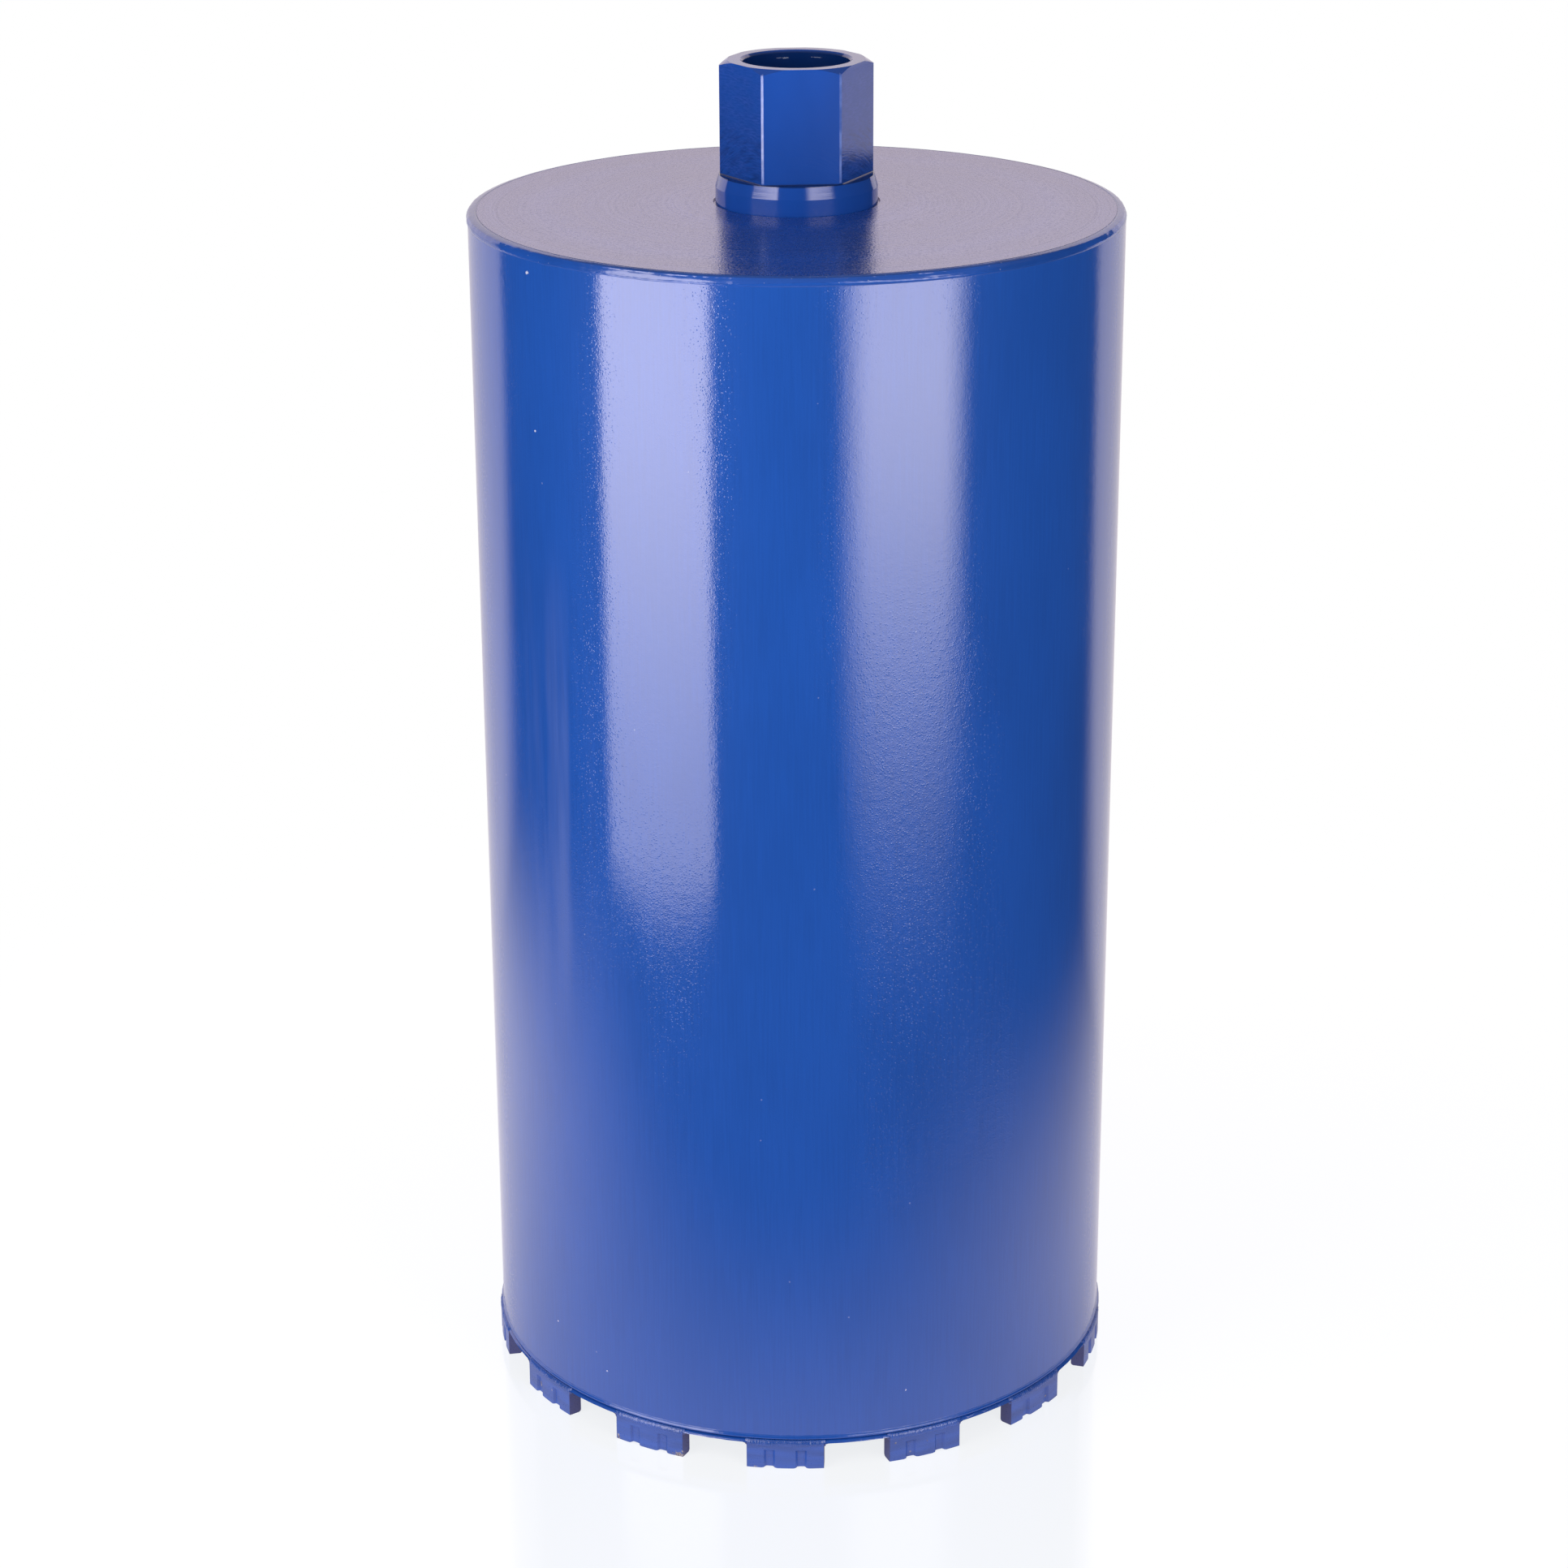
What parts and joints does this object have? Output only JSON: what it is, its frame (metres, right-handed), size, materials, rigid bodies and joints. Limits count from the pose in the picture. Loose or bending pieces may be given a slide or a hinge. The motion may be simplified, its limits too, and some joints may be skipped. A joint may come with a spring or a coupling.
{
  "type": "diamond core bit",
  "caption": "Wet core bit: thin steel barrel with fluted diamond segments on its rim, a closed end plate and a threaded hexagon hub.",
  "frame": {"origin": "on the bit's axis, in the plane of the segment tips", "axes": "+Z along the axis from the tips to the hub, -Y through the middle of segment_01 (the picture's front)"},
  "size_m": [0.1998, 0.2, 0.42],
  "materials": {
    "hub_paint": "gloss blue paint over milled steel",
    "plate_paint": "satin blue paint over turned steel",
    "barrel_paint": "gloss blue paint",
    "inside_paint": "blue paint over a weld bead",
    "segment_paint": "thin blue paint over ground metal bond, chipped at the tips"
  },
  "bodies": {
    "root": {"hub": "hub_paint", "top_plate": "plate_paint", "rim_weld": "plate_paint", "barrel": "barrel_paint", "hub_weld": "inside_paint", "segment_01": "segment_paint", "segment_02": "segment_paint", "segment_03": "segment_paint", "segment_04": "segment_paint", "segment_05": "segment_paint", "segment_06": "segment_paint", "segment_07": "segment_paint", "segment_08": "segment_paint", "segment_09": "segment_paint", "segment_10": "segment_paint", "segment_11": "segment_paint", "segment_12": "segment_paint", "segment_13": "segment_paint", "segment_14": "segment_paint"}
  },
  "joints": []
}
